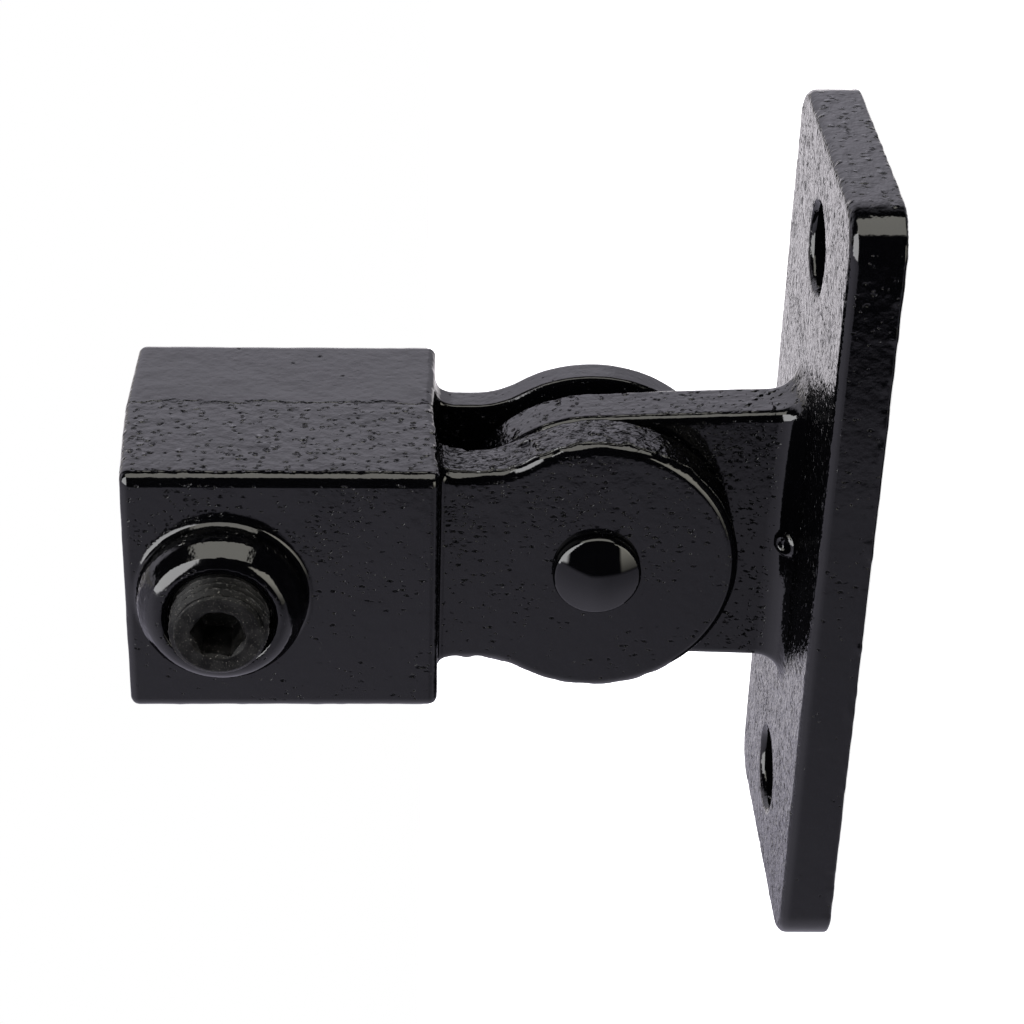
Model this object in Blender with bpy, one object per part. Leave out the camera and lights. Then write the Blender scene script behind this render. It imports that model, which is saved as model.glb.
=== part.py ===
"""Swivel stanchion base for 25 mm square tube.

A cast flange bolts down flat.  Its upright tongue carries a cast socket on a riveted pivot, so
the tube that stands in the socket can lean either way, and a set screw in the socket's boss
clamps the tube.

Frame: metres, +Z up.  The origin is the centre of the flange's underside, X runs along the
flange's two bolt holes, the pivot's axis is parallel to Y, and the set screw is on the -Y side.
"""
import math

import bmesh
import bpy
from mathutils import Matrix, Vector

MM = 0.001
GAP = 0.3 * MM                     # clearance between two pieces that touch or fit together

# Flange plate
FLANGE_LENGTH = 115.2 * MM
FLANGE_WIDTH = 46.4 * MM
FLANGE_THICKNESS = 7.2 * MM
FLANGE_CORNER = 6.0 * MM           # plan corners
FLANGE_EDGE = 1.3 * MM             # rounding of the top and bottom edges
BOLT_SPACING = 85.3 * MM
BOLT_HOLE_RADIUS = 5.9 * MM
BOLT_HOLE_EDGE = 0.8 * MM

# Pivot
PIVOT_HEIGHT = 35.2 * MM
RIVET_SHANK_RADIUS = 4.0 * MM
RIVET_HEAD_RADIUS = 6.0 * MM
RIVET_HEAD_RIM = 1.5 * MM
RIVET_CROWN = 1.1 * MM
RIVET_RIM_ROUNDING = 0.4 * MM

# Tongue on the flange
TONGUE_FRONT = -3.8 * MM
TONGUE_REAR = 4.3 * MM
TONGUE_END_RADIUS = 18.9 * MM
TONGUE_FOOT_HALF = 20.0 * MM
TONGUE_EDGE = 1.0 * MM
FOOT_FILLET = 4.0 * MM
PIP_RADIUS = 1.5 * MM              # round casting pip at the front of the foot fillet
PIP_HEIGHT = 1.1 * MM              # in front of the tongue
PIP_ABOVE_FLANGE = 1.8 * MM
PIP_OFFSET = -0.2 * MM

# Socket
TUBE_SIDE = 25.0 * MM
TUBE_CLEARANCE = 0.5 * MM          # each side
SOCKET_WALL = 5.45 * MM
SOCKET_LENGTH = 41.7 * MM
SOCKET_DEPTH = 34.4 * MM
SOCKET_EDGE = 1.5 * MM
CAVITY_CORNER = 1.5 * MM
MOUTH_EDGE = 0.7 * MM
PIVOT_TO_SOCKET = 22.15 * MM

# Fork ears
EAR_FACE = 12.1 * MM               # outer faces, from the socket's middle
FRONT_EAR_INNER = -4.5 * MM
REAR_EAR_INNER = 6.9 * MM
KNUCKLE_RADIUS = 19.45 * MM
NECK_HALF = 14.8 * MM
NECK_BLEND = 12.0 * MM             # concave arc between the knuckle and the neck
NECK_ROOT_FILLET = 3.7 * MM
NECK_ROOT_SINK = 0.4 * MM          # how far the root fillet's centre is set into the socket
EAR_EDGE = 1.0 * MM

# Set screw (1/4 inch pipe thread) and its boss
THREAD_RADIUS = 6.58 * MM
THREAD_PITCH = 1.337 * MM
THREAD_DEPTH = 0.86 * MM
SCREW_LENGTH = 14.0 * MM
SCREW_PROUD = 9.5 * MM             # beyond the socket's face
SCREW_CHAMFER = 0.95 * MM
SCREW_CUP_RADIUS = 3.6 * MM
SCREW_CUP_DEPTH = 1.2 * MM
HEX_FLATS = 6.4 * MM
HEX_DEPTH = 7.0 * MM
HEX_TURN = math.radians(83.0)       # a corner's direction, from +X towards +Z
PIVOT_TO_SCREW = 50.3 * MM
BOSS_HEIGHT = 6.0 * MM
BOSS_RADIUS = 11.1 * MM
BOSS_ROOT = 0.9 * MM               # concave fillet at the boss's foot
BOSS_SHOULDER = 8.0 * MM           # arc of the sloping shoulder, and its centre's radius and height
BOSS_SHOULDER_RADIUS = 4.2 * MM
BOSS_SHOULDER_HEIGHT = -0.6 * MM
BOSS_RIM = 1.5 * MM
BOSS_MOUTH_RADIUS = 7.3 * MM

# Values worked out from those above
SOCKET_HALF = TUBE_SIDE / 2 + TUBE_CLEARANCE + SOCKET_WALL
CAVITY_HALF = TUBE_SIDE / 2 + TUBE_CLEARANCE
SOCKET_BOTTOM = PIVOT_HEIGHT + PIVOT_TO_SOCKET
SOCKET_TOP = SOCKET_BOTTOM + SOCKET_LENGTH
SCREW_HEIGHT = PIVOT_HEIGHT + PIVOT_TO_SCREW
SCREW_END = -(SOCKET_HALF + SCREW_PROUD)

ROUND_STEPS = 48                   # sides of the large round shapes
SMALL_STEPS = 32                   # sides of the small round shapes
THREAD_STEPS = 24                  # sides of the screw's thread
THREAD_ROWS = 4                    # rings in each turn of the thread
ARC_STEP = math.radians(9.0)

TO_Y = Matrix.Rotation(math.radians(90.0), 4, "X")        # turns +Z to -Y


def material(name, color, roughness, metallic):
    """A Principled material with one colour."""
    made = bpy.data.materials.new(name)
    made.use_nodes = True
    shader = made.node_tree.nodes["Principled BSDF"]
    shader.inputs["Base Color"].default_value = (*color, 1.0)
    shader.inputs["Roughness"].default_value = roughness
    shader.inputs["Metallic"].default_value = metallic
    return made


def add_object(name, bm, finish=None, place=None, smooth_angle=35.0):
    """Turn a bmesh into an object at a place, shaded smooth across its rounded edges."""
    bmesh.ops.recalc_face_normals(bm, faces=bm.faces)
    mesh = bpy.data.meshes.new(name)
    bm.to_mesh(mesh)
    bm.free()
    mesh.shade_smooth()
    mesh.set_sharp_from_angle(angle=math.radians(smooth_angle))
    made = bpy.data.objects.new(name, mesh)
    bpy.context.collection.objects.link(made)
    if place is not None:
        made.location = place
    if finish is not None:
        mesh.materials.append(finish)
    return made


def combine(target, tool, operation):
    """Join a hidden tool to the target, or cut it out of the target."""
    tool.hide_render = True
    tool.display_type = "WIRE"
    step = target.modifiers.new(tool.name, "BOOLEAN")
    step.operation = operation
    step.solver = "EXACT"
    step.object = tool


def arc(center, radius, start, end):
    """Points of an arc in a plane, from one angle to the other, both ends included."""
    steps = max(2, round(abs(end - start) / ARC_STEP))
    angles = [start + (end - start) * i / steps for i in range(steps + 1)]
    return [(center[0] + radius * math.cos(a), center[1] + radius * math.sin(a)) for a in angles]


def quarter(radius, steps=3):
    """A rounded edge as (inward, upward) distances, from the side up to the top."""
    angles = [0.5 * math.pi * i / steps for i in range(steps + 1)]
    return [(radius * (1 - math.cos(a)), radius * math.sin(a)) for a in angles]


def rounded_rectangle(half_x, half_y, radius, steps=4):
    """Points of a rectangle with round corners, anticlockwise, the same count for any size."""
    points = []
    corners = [(1, 1, 0.0), (-1, 1, 0.5 * math.pi), (-1, -1, math.pi), (1, -1, 1.5 * math.pi)]
    for sign_x, sign_y, start in corners:
        center = (sign_x * (half_x - radius), sign_y * (half_y - radius))
        for i in range(steps + 1):
            a = start + 0.5 * math.pi * i / steps
            points.append((center[0] + radius * math.cos(a), center[1] + radius * math.sin(a)))
    return points


def loft(sections):
    """A closed solid through sections of equal point count: (height, points) from low to high."""
    bm = bmesh.new()
    rings = [[bm.verts.new((x, y, z)) for x, y in points] for z, points in sections]
    for low, high in zip(rings, rings[1:]):
        for i in range(len(low)):
            j = (i + 1) % len(low)
            bm.faces.new((low[i], low[j], high[j], high[i]))
    bm.faces.new(reversed(rings[0]))
    bm.faces.new(rings[-1])
    return bm


def slab(outline, low, high, edge, segments=2):
    """An outline in X and Z extruded from low to high along Y, its two rims rounded."""
    bm = bmesh.new()
    near = bm.faces.new([bm.verts.new((x, low, z)) for x, z in outline])
    grown = bmesh.ops.extrude_face_region(bm, geom=[near])["geom"]
    moved = [v for v in grown if isinstance(v, bmesh.types.BMVert)]
    bmesh.ops.translate(bm, verts=moved, vec=(0.0, high - low, 0.0))
    rims = [e for e in bm.edges if abs(e.verts[0].co.y - e.verts[1].co.y) < 0.5 * (high - low)]
    bmesh.ops.bevel(bm, geom=rims, offset=edge, segments=segments, profile=0.5, affect="EDGES")
    return bm


def turned(profile, steps):
    """A profile of (radius, height) points, both ends on the axis, spun round Z."""
    bm = bmesh.new()
    verts = [bm.verts.new((r, 0.0, z)) for r, z in profile]
    edges = [bm.edges.new(pair) for pair in zip(verts, verts[1:])]
    bmesh.ops.spin(bm, geom=verts + edges, axis=(0, 0, 1), cent=(0, 0, 0), steps=steps,
                   angle=2 * math.pi, use_merge=True)
    bmesh.ops.remove_doubles(bm, verts=bm.verts, dist=0.001 * MM)
    return bm


def flange_plate():
    """The flat plate with round plan corners and rounded rims."""
    top = [(FLANGE_THICKNESS - FLANGE_EDGE + up, inward) for inward, up in quarter(FLANGE_EDGE)]
    levels = [(FLANGE_THICKNESS - z, inward) for z, inward in reversed(top)] + top
    return loft([(z, rounded_rectangle(FLANGE_LENGTH / 2 - inward, FLANGE_WIDTH / 2 - inward,
                                       FLANGE_CORNER - inward)) for z, inward in levels])


def tongue_half_width(z):
    """Half width of the tongue's straight, tapering flank at a height."""
    slope = (TONGUE_FOOT_HALF - TONGUE_END_RADIUS) / (PIVOT_HEIGHT - FLANGE_THICKNESS)
    return TONGUE_END_RADIUS + slope * (PIVOT_HEIGHT - z)


def tongue():
    """The upright tongue: straight flanks that taper up to a round end about the pivot."""
    foot = 0.5 * FLANGE_THICKNESS
    taper = math.atan2(tongue_half_width(foot) - TONGUE_END_RADIUS, PIVOT_HEIGHT - foot)
    top = arc((0.0, PIVOT_HEIGHT), TONGUE_END_RADIUS, taper, math.pi - taper)
    outline = [(tongue_half_width(foot), foot)] + top + [(-tongue_half_width(foot), foot)]
    return slab(outline, TONGUE_FRONT, TONGUE_REAR, TONGUE_EDGE)


def tongue_foot():
    """The concave fillet where the tongue stands on the flange."""
    middle = (TONGUE_FRONT + TONGUE_REAR) / 2
    half_thick = (TONGUE_REAR - TONGUE_FRONT) / 2
    skin = 0.05 * MM                                       # keeps the foot's top inside the tongue
    sections = []
    for i in range(7):
        t = 0.5 * math.pi * (1 - i / 6)
        z = FLANGE_THICKNESS - skin + FOOT_FILLET * (1 - math.sin(t))
        spread = FOOT_FILLET * (1 - math.cos(t)) - skin
        ring = rounded_rectangle(tongue_half_width(z) + spread, half_thick + spread,
                                 TONGUE_EDGE + spread + skin)
        sections.append((z, [(x, y + middle) for x, y in ring]))
    sections.insert(0, (0.5 * FLANGE_THICKNESS, sections[0][1]))
    return loft(sections)


def bolt_hole_cutter():
    """A round cutter that flares at both faces of the flange."""
    top = [(BOLT_HOLE_RADIUS + out, FLANGE_THICKNESS - BOLT_HOLE_EDGE + up)
           for out, up in quarter(BOLT_HOLE_EDGE)]
    half = top + [(top[-1][0], FLANGE_THICKNESS + BOLT_HOLE_EDGE),
                  (0.0, FLANGE_THICKNESS + BOLT_HOLE_EDGE)]
    return turned([(r, FLANGE_THICKNESS - z) for r, z in reversed(half)] + half, SMALL_STEPS)


def rod(radius, low, high, steps=SMALL_STEPS):
    """A plain round bar on Z."""
    return turned([(0.0, low), (radius, low), (radius, high), (0.0, high)], steps)


def base_flange(finish):
    """The flange casting: plate, tongue, foot fillet, bolt holes, pivot bore and pip."""
    body = add_object("base_flange", flange_plate(), finish)
    combine(body, add_object("tongue_foot", tongue_foot()), "UNION")
    combine(body, add_object("tongue", tongue()), "UNION")
    pip = turned([(0.0, 0.0), (PIP_RADIUS, 0.0), (PIP_RADIUS, 0.8 * PIP_HEIGHT + 1.0 * MM),
                  (0.7 * PIP_RADIUS, PIP_HEIGHT + 1.0 * MM), (0.0, PIP_HEIGHT + 1.0 * MM)], 12)
    pip.transform(TO_Y)
    place = (PIP_OFFSET, TONGUE_FRONT + 1.0 * MM, FLANGE_THICKNESS + PIP_ABOVE_FLANGE)
    combine(body, add_object("tongue_pip", pip, place=place), "UNION")
    for side in (-1, 1):
        place = (side * BOLT_SPACING / 2, 0.0, 0.0)
        hole = add_object(f"bolt_hole_{side + 1}", bolt_hole_cutter(), place=place)
        combine(body, hole, "DIFFERENCE")
    bore = rod(RIVET_SHANK_RADIUS + GAP, -EAR_FACE, EAR_FACE)
    bore.transform(TO_Y)
    combine(body, add_object("tongue_bore", bore, place=(0, 0, PIVOT_HEIGHT)), "DIFFERENCE")
    return body


def socket_block():
    """The socket's outer block, with all of its edges rounded."""
    bm = bmesh.new()
    bmesh.ops.create_cube(bm, size=1.0)
    bmesh.ops.scale(bm, verts=bm.verts, vec=(2 * SOCKET_HALF, 2 * SOCKET_HALF, SOCKET_LENGTH))
    bmesh.ops.translate(bm, verts=bm.verts, vec=(0, 0, SOCKET_LENGTH / 2))
    bmesh.ops.bevel(bm, geom=bm.edges[:], offset=SOCKET_EDGE, segments=3, profile=0.5,
                    affect="EDGES")
    return bm


def cavity_cutter():
    """The square space for the tube, with a slightly flared mouth."""
    floor = SOCKET_LENGTH - SOCKET_DEPTH
    levels = [(floor, 0.0), (SOCKET_LENGTH - MOUTH_EDGE, 0.0), (SOCKET_LENGTH, MOUTH_EDGE),
              (SOCKET_LENGTH + MOUTH_EDGE, MOUTH_EDGE)]
    return loft([(z, rounded_rectangle(CAVITY_HALF + wide, CAVITY_HALF + wide,
                                       CAVITY_CORNER + wide)) for z, wide in levels])


def ear_half_outline():
    """One side (+X) of an ear, from the knuckle's lowest point up into the socket's end."""
    blend_height = math.sqrt((KNUCKLE_RADIUS + NECK_BLEND) ** 2 - (NECK_HALF + NECK_BLEND) ** 2)
    lean = math.atan2(blend_height, NECK_HALF + NECK_BLEND)
    knuckle = arc((0.0, 0.0), KNUCKLE_RADIUS, -math.pi / 2, lean)
    blend = arc((NECK_HALF + NECK_BLEND, blend_height), NECK_BLEND, math.pi + lean, math.pi)
    root_height = PIVOT_TO_SOCKET - NECK_ROOT_FILLET + NECK_ROOT_SINK
    stop = math.pi - math.asin(1 - NECK_ROOT_SINK / NECK_ROOT_FILLET)
    root = arc((NECK_HALF + NECK_ROOT_FILLET, root_height), NECK_ROOT_FILLET, math.pi, stop)
    inside = (root[-1][0], PIVOT_TO_SOCKET + SOCKET_EDGE)
    return knuckle[1:] + blend[1:] + root + [inside]


def ear(low, high):
    """One fork ear between two depths."""
    half = ear_half_outline()
    outline = [(0.0, -KNUCKLE_RADIUS)] + half + [(-x, z) for x, z in reversed(half)]
    return slab(outline, low, high, EAR_EDGE)


def boss():
    """The round boss for the set screw, on +Z, its foot sunk in the socket's face."""
    foot = [(BOSS_RADIUS + out, BOSS_ROOT - up) for out, up in reversed(quarter(BOSS_ROOT))]
    shoulder_end = math.acos((BOSS_RADIUS - BOSS_SHOULDER_RADIUS) / BOSS_SHOULDER)
    rim_rise = BOSS_HEIGHT - BOSS_RIM - BOSS_SHOULDER_HEIGHT
    shoulder_start = math.asin(rim_rise / (BOSS_SHOULDER - BOSS_RIM))
    rim_radius = BOSS_SHOULDER_RADIUS + rim_rise / math.tan(shoulder_start)
    shoulder = arc((BOSS_SHOULDER_RADIUS, BOSS_SHOULDER_HEIGHT), BOSS_SHOULDER, shoulder_end,
                   shoulder_start)
    rim = arc((rim_radius, BOSS_HEIGHT - BOSS_RIM), BOSS_RIM, shoulder_start, math.pi / 2)
    sink = -0.4 * SOCKET_WALL
    profile = [(0.0, sink), (BOSS_RADIUS + BOSS_ROOT, sink)] + foot + shoulder + rim[1:]
    return turned(profile + [(0.0, BOSS_HEIGHT)], ROUND_STEPS)


def screw_bore_cutter():
    """The boss's bore, countersunk at its mouth and open into the tube's space."""
    radius = THREAD_RADIUS + GAP
    sink = BOSS_MOUTH_RADIUS - radius
    return turned([(0.0, -2 * SOCKET_WALL), (radius, -2 * SOCKET_WALL),
                   (radius, BOSS_HEIGHT - sink), (BOSS_MOUTH_RADIUS, BOSS_HEIGHT),
                   (BOSS_MOUTH_RADIUS, BOSS_HEIGHT + sink), (0.0, BOSS_HEIGHT + sink)],
                  SMALL_STEPS)


def socket_fork(finish, pivot):
    """The socket casting: block, two ears, boss, tube cavity, screw bore and pivot bore."""
    body = add_object("socket_fork", socket_block(), finish, (0, 0, PIVOT_TO_SOCKET))
    tools = [
        (add_object("front_ear", ear(-EAR_FACE, FRONT_EAR_INNER)), "UNION"),
        (add_object("rear_ear", ear(REAR_EAR_INNER, EAR_FACE)), "UNION"),
    ]
    on_face = (0, -SOCKET_HALF, PIVOT_TO_SCREW)
    for name, make, operation in (("boss", boss, "UNION"),
                                  ("screw_bore", screw_bore_cutter, "DIFFERENCE")):
        bm = make()
        bm.transform(TO_Y)
        tools.append((add_object(name, bm, place=on_face), operation))
    cavity = add_object("tube_cavity", cavity_cutter(), place=(0, 0, PIVOT_TO_SOCKET))
    tools.append((cavity, "DIFFERENCE"))
    bore = rod(RIVET_SHANK_RADIUS + GAP, -2 * EAR_FACE, 2 * EAR_FACE)
    bore.transform(TO_Y)
    tools.append((add_object("ear_bore", bore), "DIFFERENCE"))
    for tool, operation in tools:
        tool.parent = pivot
        combine(body, tool, operation)
    body.parent = pivot
    return body


def rivet_head():
    """Half the outline of the head on +Z: a short round rim, then a shallow crown."""
    rim_top = EAR_FACE + RIVET_HEAD_RIM
    reach = RIVET_HEAD_RADIUS - RIVET_RIM_ROUNDING
    rim = [(RIVET_HEAD_RADIUS - inward, rim_top - RIVET_RIM_ROUNDING + up)
           for inward, up in quarter(RIVET_RIM_ROUNDING)[:-1]]
    crown = [(reach * math.cos(a), rim_top + RIVET_CROWN * math.sin(a))
             for a in [0.5 * math.pi * i / 6 for i in range(6)]]
    top = (0.0, rim_top + RIVET_CROWN)
    return [(RIVET_HEAD_RADIUS, EAR_FACE + GAP)] + rim + crown + [top]


def pivot_rivet(finish, pivot):
    """The rivet that the fork swings on: a shank through ears and tongue, a head each side."""
    head = rivet_head()
    profile = [(r, -z) for r, z in reversed(head)]
    profile += [(RIVET_SHANK_RADIUS, -head[0][1]), (RIVET_SHANK_RADIUS, head[0][1])] + head
    bm = turned(profile, ROUND_STEPS)
    bm.transform(TO_Y)
    body = add_object("pivot_rivet", bm, finish)
    body.parent = pivot
    return body


def thread_radius(turn, z):
    """Radius of the screw's surface at an angle (in turns) and a height from its point."""
    phase = (z / THREAD_PITCH - turn) % 1.0
    groove = THREAD_DEPTH * (1 - abs(2 * phase - 1))
    from_end = min(z, SCREW_LENGTH - z)
    bevel = THREAD_RADIUS - SCREW_CHAMFER + from_end
    return min(THREAD_RADIUS - groove, bevel)


def threaded_bar():
    """The screw's threaded cylinder on Z, point at 0, with both ends chamfered."""
    rows = round(SCREW_LENGTH / THREAD_PITCH * THREAD_ROWS)
    sections = []
    for row in range(rows + 1):
        z = SCREW_LENGTH * row / rows
        ring = []
        for i in range(THREAD_STEPS):
            a = 2 * math.pi * i / THREAD_STEPS
            r = thread_radius(i / THREAD_STEPS, z)
            ring.append((r * math.cos(a), r * math.sin(a)))
        sections.append((z, ring))
    return loft(sections)


def hex_cutter():
    """The six-sided key socket, on Z, running in from the screw's outer end."""
    radius = HEX_FLATS / math.sqrt(3)
    corners = [(radius * math.cos(math.pi * i / 3), radius * math.sin(math.pi * i / 3))
               for i in range(6)]
    return loft([(SCREW_LENGTH - HEX_DEPTH, corners), (SCREW_LENGTH + 1.0 * MM, corners)])


def cup_cutter():
    """The hollow in the screw's point, which bites on the tube."""
    return turned([(0.0, -SCREW_CUP_DEPTH), (SCREW_CUP_RADIUS, -SCREW_CUP_DEPTH),
                   (SCREW_CUP_RADIUS, 0.0), (0.0, SCREW_CUP_DEPTH)], 24)


def grub_screw(finish, pivot):
    """The set screw: a threaded bar with a key socket outside and a cup point inside."""
    axis = bpy.data.objects.new("screw_axis", None)
    bpy.context.collection.objects.link(axis)
    axis.parent = pivot
    axis.location = (0, SCREW_END + SCREW_LENGTH, PIVOT_TO_SCREW)
    axis.rotation_euler = (math.radians(90.0), 0, 0)
    body = add_object("grub_screw", threaded_bar(), finish)
    key = add_object("key_socket", hex_cutter())
    key.rotation_euler = (0, 0, HEX_TURN)
    cup = add_object("cup_point", cup_cutter())
    for piece in (body, key, cup):
        piece.parent = axis
    combine(body, key, "DIFFERENCE")
    combine(body, cup, "DIFFERENCE")
    return body


def build():
    for old in list(bpy.data.objects):
        bpy.data.objects.remove(old)
    coat = material("black_powder_coat", (0.012, 0.012, 0.014), 0.22, 0.0)
    rivet_coat = material("black_gloss_coat", (0.008, 0.008, 0.009), 0.08, 0.0)
    oxide = material("black_oxide_steel", (0.030, 0.030, 0.032), 0.45, 0.6)
    pivot = bpy.data.objects.new("pivot", None)
    bpy.context.collection.objects.link(pivot)
    pivot.location = Vector((0, 0, PIVOT_HEIGHT))
    base_flange(coat)
    socket_fork(coat.copy(), pivot)
    pivot_rivet(rivet_coat, pivot)
    grub_screw(oxide, pivot)
    bpy.context.view_layer.update()


build()
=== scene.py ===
"""The swivel stanchion base with its real surfaces: cast iron under black powder coat.

Each visible piece is one closed mesh.  Its form is a distance function in millimetres, with every
fillet and rounded edge of the casting, which a surface net turns into a mesh; a fine cast relief
is then pressed into it.  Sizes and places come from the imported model's nodes.
"""
import math

import bpy
import numpy as np
from mathutils import Matrix, Vector


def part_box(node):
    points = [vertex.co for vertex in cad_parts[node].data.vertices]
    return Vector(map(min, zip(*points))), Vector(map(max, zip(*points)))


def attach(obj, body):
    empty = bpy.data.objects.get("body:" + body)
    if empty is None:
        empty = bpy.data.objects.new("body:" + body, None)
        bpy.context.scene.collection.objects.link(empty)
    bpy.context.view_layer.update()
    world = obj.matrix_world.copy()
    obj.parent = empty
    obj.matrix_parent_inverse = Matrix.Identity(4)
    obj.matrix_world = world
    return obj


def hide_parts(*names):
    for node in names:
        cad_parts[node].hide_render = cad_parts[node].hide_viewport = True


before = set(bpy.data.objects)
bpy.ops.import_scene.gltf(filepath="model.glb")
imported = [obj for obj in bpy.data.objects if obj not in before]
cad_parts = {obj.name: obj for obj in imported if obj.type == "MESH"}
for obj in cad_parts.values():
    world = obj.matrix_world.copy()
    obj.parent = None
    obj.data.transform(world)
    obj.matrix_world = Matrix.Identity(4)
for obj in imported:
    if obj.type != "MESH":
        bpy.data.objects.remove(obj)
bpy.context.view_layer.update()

MM = 0.001


def node_box(node):
    """A node's lowest and highest corners in millimetres."""
    low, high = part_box(node)
    return np.array(low) / MM, np.array(high) / MM


FLANGE_LOW, FLANGE_HIGH = node_box("base_flange")
FORK_LOW, FORK_HIGH = node_box("socket_fork")
RIVET_LOW, RIVET_HIGH = node_box("pivot_rivet")
SCREW_LOW, SCREW_HIGH = node_box("grub_screw")

# Flange casting
FLANGE_THICKNESS = 7.2
FLANGE_CORNER = 6.0
FLANGE_EDGE = 1.4
FLANGE_BACK_EDGE = 0.4             # of the face that lies on the deck
BOLT_SPACING = 85.3
BOLT_HOLE_RADIUS = 5.9
BOLT_HOLE_EDGE = 0.9
PIVOT_HEIGHT = (RIVET_LOW[2] + RIVET_HIGH[2]) / 2
TONGUE_FRONT = -3.8
TONGUE_REAR = 4.3
TONGUE_END_RADIUS = FLANGE_HIGH[2] - PIVOT_HEIGHT
TONGUE_FOOT_HALF = 20.0
TONGUE_EDGE = 1.2
FOOT_FILLET = 4.0
RIVET_BORE_RADIUS = 4.2
PIP_RADIUS = 1.3                   # of the pip's ring, on the slope of the foot fillet
PIP_WIRE = 0.45
PIP_OFFSET = -0.2
PIP_RISE = 0.1                     # of the ring's middle line over the fillet
PIP_ROOT = 0.25
TONGUE_BORE_EDGE = 0.3

# Socket casting
SOCKET_HALF = FORK_HIGH[1]
SOCKET_TOP = FORK_HIGH[2]
SOCKET_LENGTH = 41.7
SOCKET_BOTTOM = SOCKET_TOP - SOCKET_LENGTH
SOCKET_EDGE = 1.7
SOCKET_RIM_EDGE = 1.2
MOUTH_DRAFT = 0.035                # slope of the mouth's face, down from the parting plane
CAVITY_HALF = 13.0
CAVITY_DEPTH = 34.4
CAVITY_CORNER = 1.5
CAVITY_FLOOR_EDGE = 1.0
MOUTH_EDGE = 0.9
KNUCKLE_RADIUS = FORK_HIGH[0]
NECK_HALF = 14.8
NECK_BLEND = 12.0
NECK_ROOT_FILLET = 3.7
NECK_ROOT_SINK = 0.4               # how far that fillet's centre is set into the socket
NECK_ROOT_REACH = 17.6
NECK_SINK = 4.0                    # how far the ears run on inside the socket
EAR_FACE = 12.1
FRONT_EAR_INNER = -4.5
REAR_EAR_INNER = 6.9
EAR_OUTER_EDGE = 1.45
EAR_INNER_EDGE = 0.5
EAR_ROOT = 1.0
EAR_BORE_EDGE = 0.2
BOSS_FACE = FORK_LOW[1]
BOSS_RADIUS = 11.1
BOSS_ROOT = 1.1
BOSS_SINK = 2.0                    # how far the boss runs on inside the socket
BOSS_LIP = 2.2                     # rounding between the mouth's face and the sloping shoulder
BOSS_LIP_RADIUS = 7.9              # where it starts, from the screw's axis
BOSS_SLOPE = math.radians(55.0)    # of the shoulder's cone
BOSS_SHOULDER_EDGE = 0.5
SCREW_BORE_RADIUS = 6.7
SCREW_BORE_EDGE = 0.25
BOSS_MOUTH_FLARE = 0.8
PARTING_DEPTH = 1.2                # y of the casting's parting plane

# Rivet
RIVET_RADIUS = RIVET_HIGH[0]
RIVET_RIM = 1.5
RIVET_RIM_ROUNDING = 0.4
RIVET_HEAD_GAP = 0.02              # between a head and its ear
RIVET_SHANK_GAP = 0.15             # around the shank
RIVET_SHANK_SINK = 1.0             # how far the shank runs on inside each head

# Set screw
SCREW_AXIS = ((SCREW_LOW[0] + SCREW_HIGH[0]) / 2, (SCREW_LOW[2] + SCREW_HIGH[2]) / 2)
THREAD_RADIUS = 6.58
THREAD_PITCH = 1.337
THREAD_DEPTH = 0.80
SCREW_CHAMFER = 0.9
SCREW_END_EDGE = 0.12
HEX_FLATS = 6.4
HEX_DEPTH = 7.0
HEX_TURN = math.radians(83.0)      # a corner's direction, from +X towards +Z
HEX_LEAD_IN = 0.55
HEX_LEAD_IN_DEPTH = 1.0
HEX_EDGE = 0.1
CUP_RADIUS = 3.6
CUP_DEPTH = 1.2
CUP_EDGE = 0.1

# Relief of the cast skin
CAST_WAVES = ((0.05, 6.0), (0.03, 2.6), (0.02, 1.5))   # height and size of each wave
CALM_SHARE = 0.25                  # what is left of the waves on the front and back
RAGGED_HEIGHT = 0.12               # of the flange's underside edge
RAGGED_REACH = 1.6
GRAIN_HEIGHT = 0.04                # on the flange's upper face
LUMP_HEIGHT = 0.12
WRINKLE_HEIGHT = 0.20

# Meshing
CAST_STEP = 0.45
NET_MARGIN = 2.5                   # steps of empty space around a form
RIVET_STEP = 0.25
SCREW_STEP = 0.2
SETTLE_ROUNDS = 5
FORM_STEP = 0.02                   # over which a form's slope is measured
RELIEF_STEP = 0.05                 # the same for the relief

# Materials
COAT_COLOR = (0.0006, 0.0006, 0.0008, 1.0)
SPECULAR = 0.5                     # the shader's usual specular level


# ---------------------------------------------------------------- distance functions

def round_join(a, b, radius):
    """Two solids joined, with a concave fillet of a radius between them."""
    corner = np.hypot(np.maximum(radius - a, 0), np.maximum(radius - b, 0))
    return np.maximum(radius, np.minimum(a, b)) - corner


def round_cut(a, b, radius):
    """What two solids share, with its new edges rounded to a radius."""
    corner = np.hypot(np.maximum(radius + a, 0), np.maximum(radius + b, 0))
    return np.minimum(-radius, np.maximum(a, b)) + corner


def rectangle(u, v, half_u, half_v, radius):
    """Distance to a rectangle with round corners, in its plane."""
    du = np.abs(u) - (half_u - radius)
    dv = np.abs(v) - (half_v - radius)
    outside = np.hypot(np.maximum(du, 0), np.maximum(dv, 0))
    return outside + np.minimum(np.maximum(du, dv), 0) - radius


def between(value, low, high):
    """Distance to the slab between two planes."""
    return np.abs(value - (low + high) / 2) - (high - low) / 2


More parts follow.
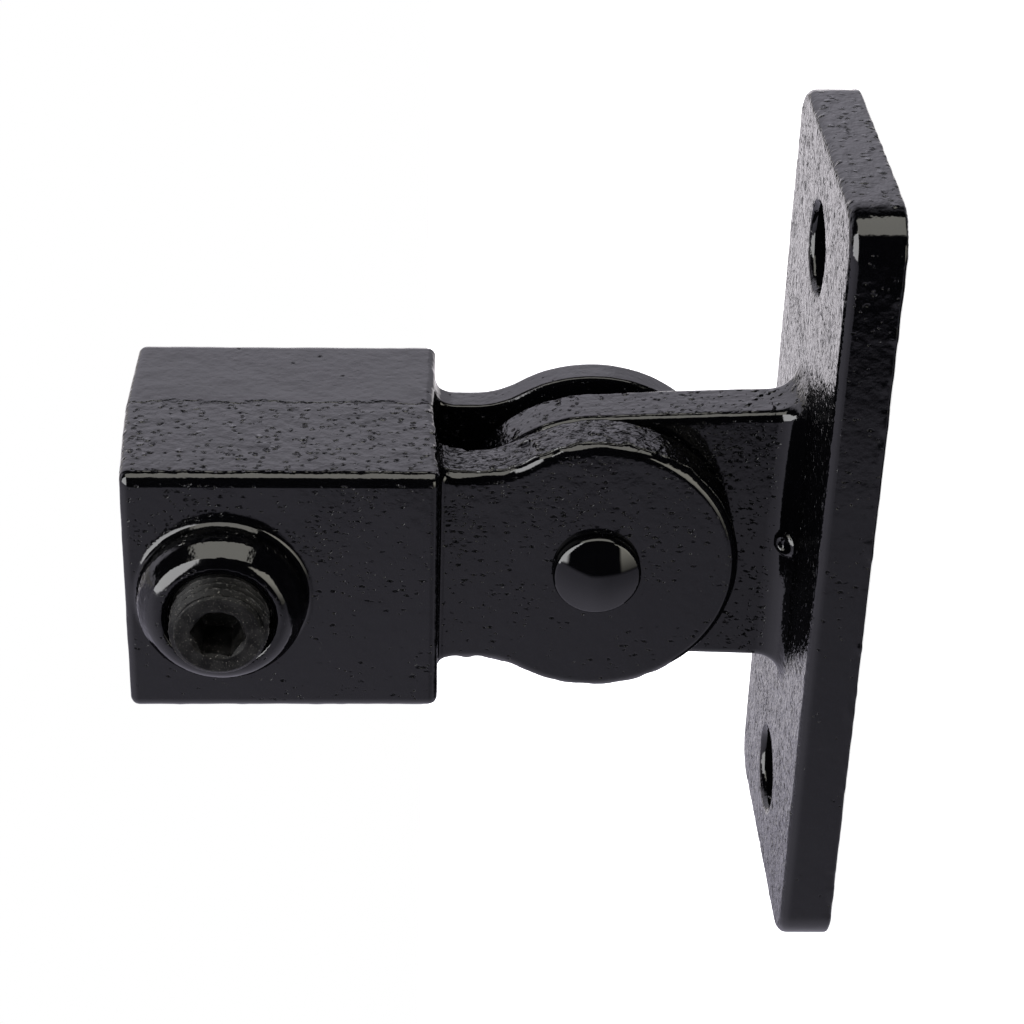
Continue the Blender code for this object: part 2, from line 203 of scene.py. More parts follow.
def tongue_outline(x, z):
    """The tongue in its plane: straight, tapering flanks under a round end about the pivot."""
    rise = z - PIVOT_HEIGHT
    taper = math.asin((TONGUE_FOOT_HALF - TONGUE_END_RADIUS) / (PIVOT_HEIGHT - FLANGE_THICKNESS))
    out = np.abs(x)
    flank = out * math.cos(taper) + rise * math.sin(taper)
    on_end = rise * math.cos(taper) > out * math.sin(taper)
    reach = np.where(on_end, np.hypot(out, rise), flank)
    return np.maximum(reach - TONGUE_END_RADIUS, FLANGE_THICKNESS / 2 - z)


def flange_form(p):
    """The flange casting: plate, tongue with its foot fillet, pip, bolt holes and bore."""
    x, y, z = p
    plan = rectangle(x, y, FLANGE_HIGH[0], FLANGE_HIGH[1], FLANGE_CORNER)
    plate = round_cut(plan, z - FLANGE_THICKNESS, FLANGE_EDGE)
    plate = round_cut(plate, -z, FLANGE_BACK_EDGE)
    tongue = round_cut(tongue_outline(x, z), between(y, TONGUE_FRONT, TONGUE_REAR), TONGUE_EDGE)
    body = round_join(plate, tongue, FOOT_FILLET)
    slope_y = (TONGUE_FRONT - y) * math.sqrt(0.5)
    slope_z = (z - FLANGE_THICKNESS) * math.sqrt(0.5)
    fillet_face = (math.sqrt(2) - 1) * FOOT_FILLET
    out_of_slope = slope_y + slope_z - fillet_face - PIP_RISE
    off_ring = np.hypot(x - PIP_OFFSET, slope_z - slope_y) - PIP_RADIUS
    body = round_join(body, np.hypot(off_ring, out_of_slope) - PIP_WIRE, PIP_ROOT)
    for side in (-1, 1):
        hole = np.hypot(x - side * BOLT_SPACING / 2, y) - BOLT_HOLE_RADIUS
        body = round_cut(body, -hole, BOLT_HOLE_EDGE)
    return round_cut(body, RIVET_BORE_RADIUS - np.hypot(x, z - PIVOT_HEIGHT), TONGUE_BORE_EDGE)


def ear_outline(x, z):
    """An ear in its plane: round knuckle, concave blend to the neck, fillet to the socket."""
    out = np.abs(x)
    rise = z - PIVOT_HEIGHT
    blend_x = NECK_HALF + NECK_BLEND
    blend_z = math.sqrt((KNUCKLE_RADIUS + NECK_BLEND) ** 2 - blend_x ** 2)
    root_x = NECK_HALF + NECK_ROOT_FILLET
    root_z = SOCKET_BOTTOM - PIVOT_HEIGHT - NECK_ROOT_FILLET + NECK_ROOT_SINK
    knuckle = np.hypot(out, rise) - KNUCKLE_RADIUS
    blend = NECK_BLEND - np.hypot(out - blend_x, rise - blend_z)
    root = NECK_ROOT_FILLET - np.hypot(out - root_x, rise - root_z)
    root = np.maximum(root, out - NECK_ROOT_REACH)
    on_knuckle = rise * blend_x < out * blend_z
    shape = np.where(on_knuckle, knuckle, np.where(rise < blend_z, blend, out - NECK_HALF))
    shape = np.where(rise > root_z, root, shape)
    return np.maximum(shape, z - SOCKET_BOTTOM - NECK_SINK)


def fork_form(p):
    """The socket casting: block, two ears, boss, tube cavity, screw bore and rivet bore.

    The boss is a flat mouth, a rounding, and a cone down to the boss's radius.  The flared bore's
    distance is scaled down, so that no slope is steeper than 1."""
    x, y, z = p
    plan = rectangle(x, y, SOCKET_HALF, SOCKET_HALF, SOCKET_EDGE)
    top = z + MOUTH_DRAFT * np.abs(y - PARTING_DEPTH)
    body = round_cut(plan, between(top, SOCKET_BOTTOM, SOCKET_TOP), SOCKET_RIM_EDGE)
    outline = ear_outline(x, z)
    for outer, inner in ((-EAR_FACE - y, y - FRONT_EAR_INNER), (y - EAR_FACE, REAR_EAR_INNER - y)):
        ear = round_cut(round_cut(outline, outer, EAR_OUTER_EDGE), inner, EAR_INNER_EDGE)
        body = round_join(body, ear, EAR_ROOT)
    around = np.hypot(x - SCREW_AXIS[0], z - SCREW_AXIS[1])
    out = around - BOSS_LIP_RADIUS
    ahead = BOSS_LIP - (y - BOSS_FACE)
    turn = np.clip(np.arctan2(out, ahead), 0.0, BOSS_SLOPE)
    shoulder = out * np.sin(turn) + ahead * np.cos(turn) - BOSS_LIP
    boss = round_cut(shoulder, around - BOSS_RADIUS, BOSS_SHOULDER_EDGE)
    boss = np.maximum(boss, y + SOCKET_HALF - BOSS_SINK)
    body = round_join(body, boss, BOSS_ROOT)
    flare = np.clip(BOSS_FACE + BOSS_MOUTH_FLARE - y, 0.0, 1.0)
    bore = np.maximum(0.9 * (around - SCREW_BORE_RADIUS - flare), y + CAVITY_HALF / 2)
    body = round_cut(body, -bore, SCREW_BORE_EDGE)
    cavity = rectangle(x, y, CAVITY_HALF, CAVITY_HALF, CAVITY_CORNER)
    cavity = round_cut(cavity, SOCKET_TOP - CAVITY_DEPTH - z, CAVITY_FLOOR_EDGE)
    body = round_cut(body, -cavity, MOUTH_EDGE)
    return round_cut(body, RIVET_BORE_RADIUS - np.hypot(x, z - PIVOT_HEIGHT), EAR_BORE_EDGE)


def rivet_form(p):
    """The rivet: a shank, and at each end a short round rim under a shallow crown."""
    x, y, z = p
    around = np.hypot(x, z - PIVOT_HEIGHT)
    out = np.abs(y)
    rise = RIVET_HIGH[1] - EAR_FACE - RIVET_RIM
    crown_radius = (RIVET_RADIUS ** 2 + rise ** 2) / (2 * rise)
    crown = np.hypot(around, out - (RIVET_HIGH[1] - crown_radius)) - crown_radius
    crown = np.maximum(crown, EAR_FACE + RIVET_HEAD_GAP - out)
    head = round_cut(around - RIVET_RADIUS, crown, RIVET_RIM_ROUNDING)
    shank = np.maximum(around - RIVET_BORE_RADIUS + RIVET_SHANK_GAP,
                       out - EAR_FACE - RIVET_SHANK_SINK)
    return np.minimum(head, shank)


def screw_form(p):
    """The set screw: thread, chamfered ends, key socket and cup point.

    The thread's and the cup's distances are scaled down, so that no slope is steeper than 1."""
    x = p[0] - SCREW_AXIS[0]
    depth = p[1] - SCREW_LOW[1]
    z = p[2] - SCREW_AXIS[1]
    length = SCREW_HIGH[1] - SCREW_LOW[1]
    around = np.hypot(x, z)
    turn = np.arctan2(z, x) / (2 * math.pi)
    phase = np.mod(depth / THREAD_PITCH + turn, 1.0)
    groove = THREAD_DEPTH * np.clip(1.25 - 2.5 * np.abs(phase - 0.5), 0.0, 1.0)
    thread = 0.7 * (around - THREAD_RADIUS + groove)
    from_end = np.minimum(depth, length - depth)
    chamfer = (around - (THREAD_RADIUS - SCREW_CHAMFER) - from_end) * math.sqrt(0.5)
    body = round_cut(np.maximum(thread, chamfer), -from_end, SCREW_END_EDGE)
    key = np.full_like(x, -HEX_FLATS)
    for i in range(6):
        facing = HEX_TURN + math.pi / 6 + i * math.pi / 3
        key = np.maximum(key, x * math.cos(facing) + z * math.sin(facing) - HEX_FLATS / 2)
    lead_in = (around - HEX_FLATS / 2 - HEX_LEAD_IN + depth) * math.sqrt(0.5)
    lead_in = np.maximum(lead_in, depth - HEX_LEAD_IN_DEPTH)
    key = np.minimum(np.maximum(key, depth - HEX_DEPTH), lead_in)
    body = round_cut(body, -key, HEX_EDGE)
    cup = (around - CUP_RADIUS + (length - depth) * CUP_RADIUS / CUP_DEPTH) * 0.3
    return round_cut(body, -cup, CUP_EDGE)


# ---------------------------------------------------------------- relief of the cast skin

def lattice_noise(p, size, seed):
    """Smooth random values from -1 to 1 that vary over a size in millimetres."""
    at = p / size
    cell = np.floor(at).astype(np.int64)
    part = at - cell
    weight = part * part * (3 - 2 * part)
    total = np.zeros(p.shape[1])
    for corner in range(8):
        step = np.array([corner & 1, corner >> 1 & 1, corner >> 2 & 1])[:, None]
        key = cell + step
        mixed = key[0] * 73856093 ^ key[1] * 19349663 ^ key[2] * 83492791 ^ seed * 2654435761
        mixed = (mixed & 0xFFFFFFFF) * 2246822519 & 0xFFFFFFFF
        mixed = (mixed ^ mixed >> 15) * 3266489917 & 0xFFFFFFFF
        value = (mixed ^ mixed >> 13 & 0x7FFFF) / 0x7FFFFFFF - 1.0
        total += value * np.prod(np.where(step == 1, weight, 1 - weight), axis=0)
    return total


def cast_relief(p, normal, seed):
    """Height of the casting's skin over its true form: waves, calmer on the front and back."""
    calm = CALM_SHARE + (1 - CALM_SHARE) * np.clip(2 - 2.5 * np.abs(normal[1]), 0, 1)
    waves = 0.0
    for i, (height, size) in enumerate(CAST_WAVES):
        waves = waves + height * lattice_noise(p, size, seed + i)
    return calm * waves


def flange_relief(p, normal):
    """Cast relief, with the flange's ragged underside edge and a grain on its upper face."""
    low_down = np.clip(1 - p[2] / RAGGED_REACH, 0, 1)
    ragged = low_down * np.clip(lattice_noise(p, 1.8, 13) - 0.1, 0, 1)
    grain = np.clip(2 * normal[2] - 1, 0, 1) * lattice_noise(p, 1.5, 31)
    return cast_relief(p, normal, 11) + RAGGED_HEIGHT * ragged + GRAIN_HEIGHT * grain


def fork_relief(p, normal):
    """Cast relief, with lumps on the rougher, -Y half of the sides across the mould, and
    wrinkles on the edge of the front ear."""
    front = np.clip(PARTING_DEPTH - p[1], 0, 1)
    lumps = front * np.clip(lattice_noise(p, 1.7, 41) - 0.2, 0, 1)
    wrinkles = front * np.clip(SOCKET_BOTTOM + 0.5 - p[2], 0, 1) * lattice_noise(p, 1.5, 43)
    across = np.clip(4 * np.abs(normal[0]) - 2, 0, 1)
    return cast_relief(p, normal, 21) + across * (LUMP_HEIGHT * lumps + WRINKLE_HEIGHT * wrinkles)


# ---------------------------------------------------------------- meshes

def gradient(form, p, eps):
    """Slope of a function at points, by central differences."""
    slope = np.empty_like(p)
    for axis in range(3):
        step = np.zeros((3, 1))
        step[axis] = eps
        slope[axis] = (form(p + step) - form(p - step)) / (2 * eps)
    return slope


def surface_net(form, low, high, step):
    """A quad mesh near a form's zero surface: points (3 x N) and quads (M x 4)."""
    low = np.asarray(low, float) - NET_MARGIN * step
    counts = np.ceil((np.asarray(high, float) - low) / step).astype(int) + 3
    axes = [low[i] + step * np.arange(counts[i]) for i in range(3)]
    field = np.empty(counts)
    across = np.meshgrid(axes[1], axes[2], indexing="ij")
    for i, x in enumerate(axes[0]):
        field[i] = form((np.full_like(across[0], x), across[0], across[1]))
    inside = field < 0
    sums = np.zeros((3, field.size))
    hits = np.zeros(field.size)
    strides = np.array([counts[1] * counts[2], counts[2], 1])
    edges = []
    for axis in range(3):
        near = [slice(None)] * 3
        far = [slice(None)] * 3
        near[axis] = slice(0, -1)
        far[axis] = slice(1, None)
        at = np.argwhere(inside[tuple(near)] != inside[tuple(far)]).T
        start = field[tuple(at)]
        ahead = at.copy()
        ahead[axis] += 1
        crossing = at.astype(float)
        crossing[axis] += start / (start - field[tuple(ahead)])
        b, c = [k for k in range(3) if k != axis]
        base = (at * strides[:, None]).sum(0)
        around = [base - strides[b] - strides[c], base - strides[c], base, base - strides[b]]
        for cell in around:
            hits += np.bincount(cell, minlength=field.size)
            for k in range(3):
                sums[k] += np.bincount(cell, crossing[k], minlength=field.size)
        quads = np.stack(around, axis=1)
        outward = inside[tuple(at)] != (axis == 1)
        quads[~outward] = quads[~outward][:, ::-1]
        edges.append(quads)
    used = np.flatnonzero(hits)
    index = np.full(field.size, -1)
    index[used] = np.arange(used.size)
    points = sums[:, used] / hits[used] * step + low[:, None]
    return points, index[np.concatenate(edges)]


def settle(form, points, step):
    """Moves points onto the form's zero surface."""
    for _ in range(SETTLE_ROUNDS):
        slope = gradient(form, points, FORM_STEP)
        size = np.maximum((slope ** 2).sum(0), 0.25)
        points = points - np.clip(form(points), -step, step) * slope / size
    return points


def piece(name, form, corners, step, material, body, relief=None):
    """One visible piece: the mesh of a form, its relief and its exact shading normals."""
    points, quads = surface_net(form, *corners, step)
    points = settle(form, points, step)
    slope = gradient(form, points, FORM_STEP)
    normal = slope / np.linalg.norm(slope, axis=0)
    if relief is not None:
        height = relief(points, normal)
        tilt = gradient(lambda p: relief(p, normal), points, RELIEF_STEP)
        tilt -= (tilt * normal).sum(0) * normal
        points = points + height * normal
        normal = normal - tilt
        normal /= np.linalg.norm(normal, axis=0)
    mesh = bpy.data.meshes.new(name)
    mesh.from_pydata((points.T * MM).tolist(), [], quads.tolist())
    mesh.polygons.foreach_set("use_smooth", [True] * len(mesh.polygons))
    mesh.normals_split_custom_set_from_vertices(normal.T.tolist())
    mesh.materials.append(material)
    made = bpy.data.objects.new(name, mesh)
    bpy.context.scene.collection.objects.link(made)
    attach(made, body)
    return made


# ---------------------------------------------------------------- materials

def socket_link(tree, value, target):
    """Links a node's output to an input, or sets the input to a plain value."""
    if isinstance(value, bpy.types.NodeSocket):
        tree.links.new(value, target)
    else:
        target.default_value = value


def add_node(tree, kind, inputs=None, output=0, **settings):
    """A shader node with its settings and inputs; returns one of its outputs."""
    node = tree.nodes.new(kind)
    for key, value in settings.items():
        setattr(node, key, value)
    for key, value in (inputs or {}).items():
        socket_link(tree, value, node.inputs[key])
    return node.outputs[output]


def maths(tree, operation, a, b=0.0, c=0.0):
    return add_node(tree, "ShaderNodeMath", {0: a, 1: b, 2: c}, operation=operation)


def product(tree, *values):
    """All the values multiplied."""
    total = values[0]
    for value in values[1:]:
        total = maths(tree, "MULTIPLY", total, value)
    return total


def vector_maths(tree, operation, a, b, output=0):
    return add_node(tree, "ShaderNodeVectorMath", {0: a, 1: b}, output, operation=operation)


def scaled(tree, vector, scale):
    return add_node(tree, "ShaderNodeVectorMath", {0: vector, "Scale": scale}, operation="SCALE")


def parts_of(tree, vector):
    """A vector's three components."""
    return add_node(tree, "ShaderNodeSeparateXYZ", {0: vector}).node.outputs


def mixed_color(tree, share, start, end):
    """The start colour where the share is 0 and the end colour where it is 1."""
    return add_node(tree, "ShaderNodeMix", {0: share, 6: start, 7: end}, 2, data_type="RGBA")


def span(tree, value, low, high, to_low=0.0, to_high=1.0):
    """A value mapped from one range to another, smoothly and clamped."""
    return add_node(tree, "ShaderNodeMapRange", {0: value, 1: low, 2: high, 3: to_low, 4: to_high},
                    interpolation_type="SMOOTHSTEP")


def noise(tree, where, size, detail=2.0, rough=0.5):
    """Noise from 0 to 1 over a size in millimetres."""
    return add_node(tree, "ShaderNodeTexNoise",
                    {"Vector": where, "Scale": 1.0 / size, "Detail": detail, "Roughness": rough})


def new_material(name):
    """A material with its node tree and shader, and the place on the object in millimetres."""
    made = bpy.data.materials.new(name)
    made.use_nodes = True
    tree = made.node_tree
    shader = tree.nodes["Principled BSDF"]
    where = scaled(tree, add_node(tree, "ShaderNodeTexCoord", output="Object"), 1.0 / MM)
    return made, tree, shader, where


def bump(tree, height, distance, under=None):
    """A bump of a height map from 0 to 1 that stands up to a distance in millimetres."""
    inputs = {"Height": height, "Distance": distance * MM, "Strength": 1.0}
    if under is not None:
        inputs["Normal"] = under
    return add_node(tree, "ShaderNodeBump", inputs)


def dents(tree, mask, depth, under):
    """Dents of a depth in millimetres where a mask is 1."""
    return bump(tree, maths(tree, "SUBTRACT", 1.0, mask), depth, under)


def spots(tree, where, size, share, radius):
    """Scattered round spots, 1 in the middle and 0 outside; a share of the cells has one."""
    cell = tree.nodes.new("ShaderNodeTexVoronoi")
    cell.inputs["Scale"].default_value = 1.0 / size
    cell.inputs["Randomness"].default_value = 0.9
    tree.links.new(where, cell.inputs["Vector"])
    chance = add_node(tree, "ShaderNodeSeparateColor", {0: cell.outputs["Color"]})
    present = maths(tree, "LESS_THAN", chance, share)
    dip = span(tree, cell.outputs["Distance"], 0.1 * radius / size, radius / size, 1.0, 0.0)
    return product(tree, dip, present)


def warped(tree, where, size, reach):
    """Coordinates pushed about, so that what is drawn with them has an irregular outline."""
    push = add_node(tree, "ShaderNodeTexNoise", {"Vector": where, "Scale": 1.0 / size}, 1)
    push = scaled(tree, vector_maths(tree, "SUBTRACT", push, (0.5, 0.5, 0.5)), 2 * reach)
    return vector_maths(tree, "ADD", where, push)


def socket_zones(tree, where, y, z):
    """Where the socket's coat is rough: how far a place is behind the ragged parting line, how
    rough its side of the line is, and how wrinkled it is, most on the ears."""
    wander = product(tree, noise(tree, where, 4.5, 4.0, 0.7), 3.2)
    behind = maths(tree, "SUBTRACT", maths(tree, "ADD", y, wander), PARTING_DEPTH + 1.6)
    front_half = span(tree, behind, -0.5, 0.1, 1.0, 0.08)
    wrinkled = span(tree, z, SOCKET_BOTTOM - 1.0, SOCKET_BOTTOM, 2.6, 0.7)
    return behind, front_half, wrinkled


def foot_crowding(tree, z):
    """How crowded the flange's pits are: most at the tongue's foot, fewer up the tongue."""
    foot = span(tree, z, FLANGE_THICKNESS - 0.5, FLANGE_THICKNESS + 0.5, 0.3, 3.0)
    fading = span(tree, z, FLANGE_THICKNESS + 3.0, PIVOT_HEIGHT * 0.7, 1.0, 0.45)
    return product(tree, foot, fading)


def parting_step(tree, where, behind, across, under):
    """The parting line's step, sharper in some places than in others."""
    width = span(tree, noise(tree, where, 2.5, 2.0), 0.35, 0.65, 0.22, 0.6)
    step = span(tree, maths(tree, "DIVIDE", behind, width), -1.0, 1.0)
    return bump(tree, product(tree, step, across), 0.26, under)


def powder_coat(name, seam):
    """Gloss black powder coat on a sand casting.

    The sides across the mould (+X and -X) are pimpled, most on the -Y half of the socket, whose
    parting line is a low ragged step.  The faces along the mould are calm, with ragged pits, and
    faces that look up have pores.  Pits and pores are rougher than the coat around them, and their
    specular level is lowered as painted shade, standing in for the self-shadowing inside them."""
    made, tree, shader, where = new_material(name)
    shader.inputs["Base Color"].default_value = COAT_COLOR
    x, y, z = parts_of(tree, where)
    turned = parts_of(tree, add_node(tree, "ShaderNodeTexCoord", output="Normal"))
    along_y = maths(tree, "ABSOLUTE", turned[1])
    across = span(tree, along_y, 0.12, 0.35, 1.0, 0.0)
    facing = span(tree, along_y, 0.95, 0.99)
    upward = span(tree, turned[2], 0.7, 0.95)
    patchy = noise(tree, where, 8.0, 2.0)
    if seam:
        behind, front_half, wrinkled = socket_zones(tree, where, y, z)
        crowded = 1.0
    else:
        front_half = span(tree, patchy, 0.35, 0.65, 0.6, 1.1)
        wrinkled = 0.8
        crowded = foot_crowding(tree, z)
    grit = product(tree, across, front_half)
    calm = span(tree, span(tree, along_y, 0.6, 0.9), 0.0, 1.0, 1.0, 0.28)
    rough = maths(tree, "MULTIPLY_ADD", grit, wrinkled, product(tree, calm, 0.5))

    uneven = warped(tree, where, 0.9, 0.35)
    ragged = vector_maths(tree, "MULTIPLY", warped(tree, where, 0.5, 0.35), (1.5, 1.0, 0.85))
    pimples = product(tree, spots(tree, uneven, 1.9, 0.75, 0.62), grit)
    small = product(tree, spots(tree, ragged, 1.25, 0.55, 0.42), grit)
    pitted = maths(tree, "MAXIMUM", facing, product(tree, grit, wrinkled, 0.7))
    crowd = product(tree, span(tree, patchy, 0.40, 0.62, 0.12, 0.6),
                    span(tree, x, -14.0, 14.0, 0.35, 1.0), crowded, pitted)
    pits = maths(tree, "ADD", spots(tree, ragged, 1.15, crowd, 0.45),
                 spots(tree, ragged, 0.7, crowd, 0.27))
    pores = product(tree, spots(tree, uneven, 1.05, 0.65, 0.3), upward)

    normal = bump(tree, product(tree, noise(tree, where, 1.3, 2.0), rough), 0.15)
    normal = bump(tree, product(tree, noise(tree, where, 0.55, 1.0), rough), 0.025, normal)
    normal = bump(tree, product(tree, noise(tree, uneven, 0.65, 1.0), upward), 0.08, normal)
    normal = dents(tree, pores, 0.12, normal)
    normal = bump(tree, pimples, 0.34, normal)
    normal = dents(tree, small, 0.24, normal)
    normal = dents(tree, pits, 0.05, normal)
    if seam:
        normal = parting_step(tree, where, behind, across, normal)
    tree.links.new(normal, shader.inputs["Normal"])

    hollow = maths(tree, "ADD", pits, maths(tree, "ADD", product(tree, small, 0.85), pores))
    dull = span(tree, noise(tree, where, 11.0, 3.0), 0.35, 0.7, 0.06, 0.12)
    dull = maths(tree, "MAXIMUM", dull, product(tree, hollow, 0.5))
    tree.links.new(dull, shader.inputs["Roughness"])
    # specular level lowered in the pits, small dents and pores: painted shade for their
    # self-shadowing
    specular_with_painted_pit_shade = maths(tree, "MULTIPLY_ADD", hollow, -SPECULAR, SPECULAR)
    tree.links.new(maths(tree, "MAXIMUM", specular_with_painted_pit_shade, 0.03), shader.inputs["Specular IOR Level"])
    return made


def rivet_coat(name):
    """The rivet's smooth coat: almost a mirror, with a slight long wave."""
    made, tree, shader, where = new_material(name)
    shader.inputs["Base Color"].default_value = COAT_COLOR
    normal = bump(tree, noise(tree, where, 3.5, 1.0), 0.012)
    normal = dents(tree, spots(tree, where, 1.6, 0.12, 0.12), 0.02, normal)
    tree.links.new(normal, shader.inputs["Normal"])
    dull = span(tree, noise(tree, where, 4.0, 2.0), 0.4, 0.7, 0.02, 0.06)
    tree.links.new(dull, shader.inputs["Roughness"])
    return made


def black_oxide(name):
    """Black-oxide steel: satin, with a fine grain, dust specks and brighter worn crests."""
    made, tree, shader, where = new_material(name)
    shader.inputs["Specular IOR Level"].default_value = 0.11
    patch = span(tree, noise(tree, where, 2.2, 3.0, 0.6), 0.35, 0.7)
    tint = mixed_color(tree, patch, (0.001, 0.001, 0.001, 1), (0.006, 0.0059, 0.0057, 1))
    specks = span(tree, noise(tree, where, 0.22, 2.0, 0.7), 0.62, 0.72)
    tint = mixed_color(tree, specks, tint, (0.09, 0.086, 0.076, 1))
    off_axis = vector_maths(tree, "SUBTRACT", where, (SCREW_AXIS[0], 0, SCREW_AXIS[1]))
    off_axis = vector_maths(tree, "MULTIPLY", off_axis, (1, 0, 1))
    radius = add_node(tree, "ShaderNodeVectorMath", {0: off_axis}, 1, operation="LENGTH")
    crest = product(tree, span(tree, radius, THREAD_RADIUS - 0.25, THREAD_RADIUS - 0.05),
                    span(tree, noise(tree, where, 0.8, 3.0, 0.7), 0.4, 0.65))
    tint = mixed_color(tree, crest, tint, (0.035, 0.034, 0.032, 1))
    tree.links.new(tint, shader.inputs["Base Color"])
    grain = noise(tree, where, 0.22, 3.0, 0.6)
    tree.links.new(span(tree, grain, 0.3, 0.7, 0.34, 0.55), shader.inputs["Roughness"])
    tree.links.new(bump(tree, grain, 0.02), shader.inputs["Normal"])
    return made


# ---------------------------------------------------------------- studio

CAMERA_PLACE = Vector((0.1938, -0.3146, 0.0645))
CAMERA_LENS = 93.3
CAMERA_PITCH = math.radians(31.34)  # down from the level, when +X is up
CAMERA_YAW = math.radians(3.32)     # from +Y towards -Z
CAMERA_ROLL = math.radians(1.92)
BLACK = (0, 0, 0, 1)
SECOND_GLOSS_DARKENING = 0.85       # of the room, where it is seen in a second glossy face


def camera():
    """The camera lies on its side: +X is up in the picture and +Z is to the left."""
    up_axis = Vector((1, 0, 0))
    away_axis = Vector((0, 1, 0))
    right_axis = Vector((0, 0, -1))
    level = right_axis * math.sin(CAMERA_YAW) + away_axis * math.cos(CAMERA_YAW)
    forward = level * math.cos(CAMERA_PITCH) - up_axis * math.sin(CAMERA_PITCH)
    side = right_axis * math.cos(CAMERA_YAW) - away_axis * math.sin(CAMERA_YAW)
    top = side.cross(forward)
    rolled_side = side * math.cos(CAMERA_ROLL) + top * math.sin(CAMERA_ROLL)
    rolled_top = top * math.cos(CAMERA_ROLL) - side * math.sin(CAMERA_ROLL)
    data = bpy.data.cameras.new("camera")
    data.lens = CAMERA_LENS
    data.sensor_width = 36.0
    data.clip_start = 0.01
    data.clip_end = 50.0
    made = bpy.data.objects.new("camera", data)
    turn = Matrix((rolled_side, rolled_top, -forward)).transposed()
    made.matrix_world = Matrix.Translation(CAMERA_PLACE) @ turn.to_4x4()
    bpy.context.scene.collection.objects.link(made)
    bpy.context.scene.camera = made


def floor():
    """A plain pale floor under the flange."""
    half = 3.0
    corners = [(-half, -half, 0), (half, -half, 0), (half, half, 0), (-half, half, 0)]
    mesh = bpy.data.meshes.new("floor")
    mesh.from_pydata(corners, [], [(0, 1, 2, 3)])
    made, _, shader, _ = new_material("pale_floor")
    shader.inputs["Base Color"].default_value = (0.9, 0.9, 0.9, 1.0)
    shader.inputs["Roughness"].default_value = 0.9
    shader.inputs["Specular IOR Level"].default_value = 0.0
    shader.inputs["Emission Color"].default_value = (1.0, 1.0, 1.0, 1.0)
    shader.inputs["Emission Strength"].default_value = 0.85
    mesh.materials.append(made)
    plane = bpy.data.objects.new("floor", mesh)
    plane.location.z = -0.0002
    plane.visible_glossy = False
    bpy.context.scene.collection.objects.link(plane)


def window(tree, value, low, high, soft):
    """1 where a value lies between two limits and 0 outside, with soft ends."""
    rise = span(tree, value, low - soft, low + soft)
    fall = span(tree, value, high - soft, high + soft, 1.0, 0.0)
    return product(tree, rise, fall)


def soft_boxes(tree, height, sideways):
    """The studio's cards and soft boxes: a mask, a colour and a strength for each.

    Heights run in degrees from the camera's side (0) over the top (90) to the back (180), and
    below it from 0 to -180.  Sideways angles are positive to the left."""
    to_left = span(tree, sideways, -16.0, 8.0, 0.72, 1.1)
    table_reach = span(tree, sideways, -52.0, -44.0)
    edge_drop = product(tree, maths(tree, "MAXIMUM", sideways, 0.0), 0.4)
    table_height = maths(tree, "SUBTRACT", height, edge_drop)
    table = product(tree, window(tree, table_height, -180.0, -28.9, 2.4), to_left, table_reach)
    sheen = product(tree, window(tree, table_height, -120.0, -46.0, 18.0), table_reach)
    low_backdrop = window(tree, height, -180.0, -146.0, 7.0)
    backdrop = product(tree, span(tree, height, 106.0, 140.0),
                       span(tree, height, 152.0, 172.0, 1.0, 0.7),
                       span(tree, sideways, -17.0, -5.0, 0.7, 1.0))
    overhead = product(tree, window(tree, height, 46.0, 93.0, 1.5),
                       window(tree, sideways, -32.0, 32.0, 3.0))
    left_box = product(tree, window(tree, height, -17.0, 52.0, 2.0),
                       window(tree, sideways, 22.0, 75.0, 2.0))
    right_box = product(tree, span(tree, height, -34.0, 6.0, 0.1, 1.0),
                        window(tree, height, -27.0, 24.0, 2.0),
                        window(tree, sideways, -48.0, -24.0, 1.5))
    return [
        (table, (1.04, 1.0, 1.2, 1), 0.46),
        (sheen, (1.03, 1.0, 1.15, 1), 0.25),
        (low_backdrop, (1.05, 1.0, 0.97, 1), 0.72),
        (backdrop, (1.03, 1.0, 1.13, 1), 1.15),
        (overhead, (1.0, 0.98, 0.90, 1), 3.0),
        (left_box, (0.99, 0.99, 1.0, 1), 7.0),
        (right_box, (1.0, 0.97, 0.85, 1), 3.8),
    ]


def backdrop_light(tree, color, strength):
    return add_node(tree, "ShaderNodeBackground", {"Color": color, "Strength": strength})


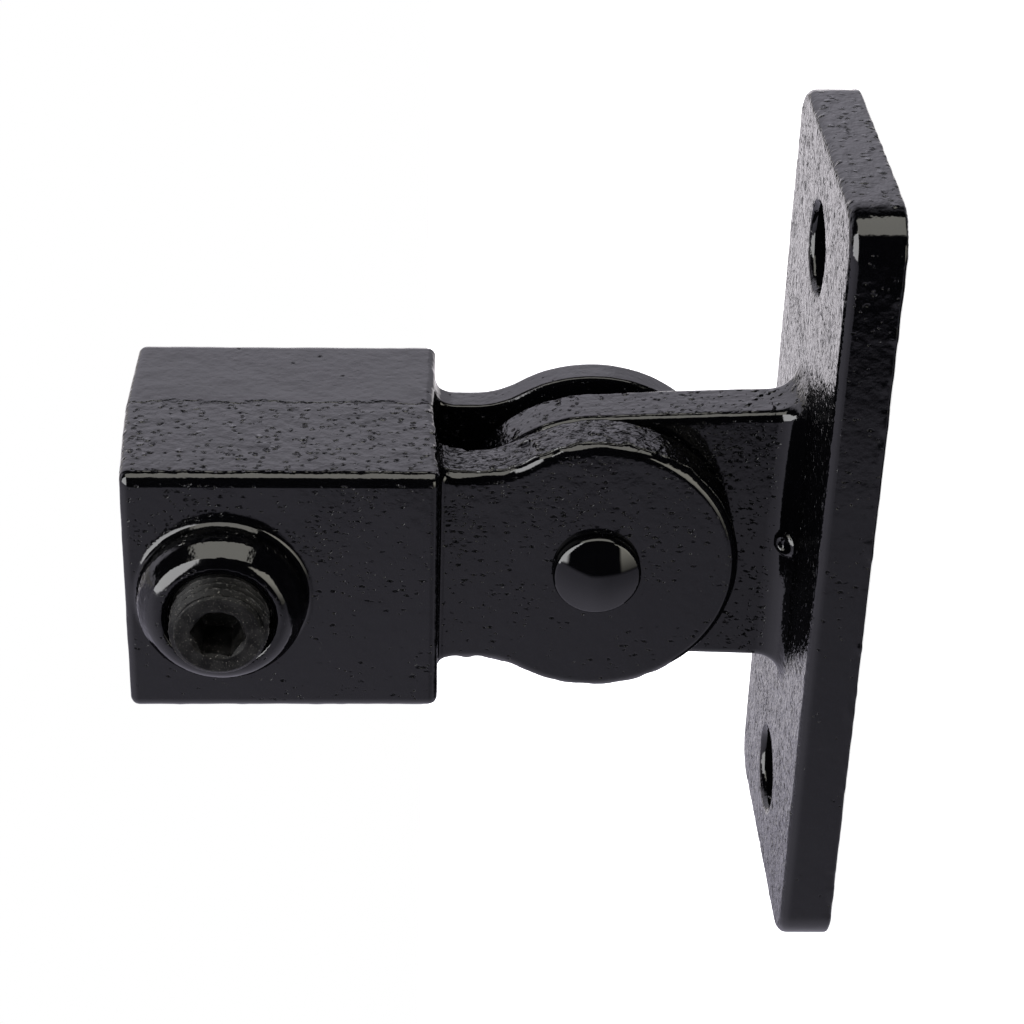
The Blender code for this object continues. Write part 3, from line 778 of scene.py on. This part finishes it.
def studio():
    """Soft boxes and pale cards all round, with a dark gap where the camera looks in.

    Seen from the camera, +X is up: a pale table below, a dark room in front, a bright soft box
    to the left, a dimmer warm one to the right, one overhead and a pale backdrop behind.  A gloss
    face seen in another one shows a darkened room, so slots and inner corners stay black."""
    world = bpy.data.worlds.new("studio")
    bpy.context.scene.world = world
    world.use_nodes = True
    tree = world.node_tree
    tree.nodes.clear()
    direction = add_node(tree, "ShaderNodeTexCoord", output="Generated")
    up, away, left = parts_of(tree, direction)
    toward = product(tree, away, -1.0)
    height = product(tree, maths(tree, "ARCTAN2", up, toward), math.degrees(1.0))
    sideways = product(tree, maths(tree, "ARCSINE", left), math.degrees(1.0))
    total = backdrop_light(tree, BLACK, 0.0)
    for mask, color, strength in soft_boxes(tree, height, sideways):
        shade = backdrop_light(tree, mixed_color(tree, mask, BLACK, color), strength)
        total = add_node(tree, "ShaderNodeAddShader", {0: total, 1: shade})
    bounces = add_node(tree, "ShaderNodeLightPath", output="Glossy Depth")
    darkening = span(tree, bounces, 1.2, 1.8, 0.0, SECOND_GLOSS_DARKENING)
    total = add_node(tree, "ShaderNodeMixShader",
                     {0: darkening, 1: total, 2: backdrop_light(tree, BLACK, 0.0)})
    seen = backdrop_light(tree, (1, 1, 1, 1), 1.0)
    is_camera = add_node(tree, "ShaderNodeLightPath", output="Is Camera Ray")
    mixed = add_node(tree, "ShaderNodeMixShader", {0: is_camera, 1: total, 2: seen})
    out = tree.nodes.new("ShaderNodeOutputWorld")
    tree.links.new(mixed, out.inputs["Surface"])
    bpy.context.scene.view_settings.view_transform = "Standard"


# ---------------------------------------------------------------- the object

def build():
    camera()
    studio()
    floor()
    cast_step = CAST_STEP
    flange = piece("flange_casting", flange_form, (FLANGE_LOW, FLANGE_HIGH), cast_step,
                   powder_coat("flange_coat", False), "flange", flange_relief)
    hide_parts("base_flange")
    fork = piece("socket_casting", fork_form, (FORK_LOW, FORK_HIGH), cast_step,
                 powder_coat("socket_coat", True), "fork", fork_relief)
    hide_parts("socket_fork")
    rivet = piece("rivet", rivet_form, (RIVET_LOW, RIVET_HIGH), RIVET_STEP,
                  rivet_coat("rivet_gloss"), "fork")
    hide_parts("pivot_rivet")
    screw = piece("set_screw", screw_form, (SCREW_LOW, SCREW_HIGH), SCREW_STEP,
                  black_oxide("screw_oxide"), "screw")
    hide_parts("grub_screw")


build()
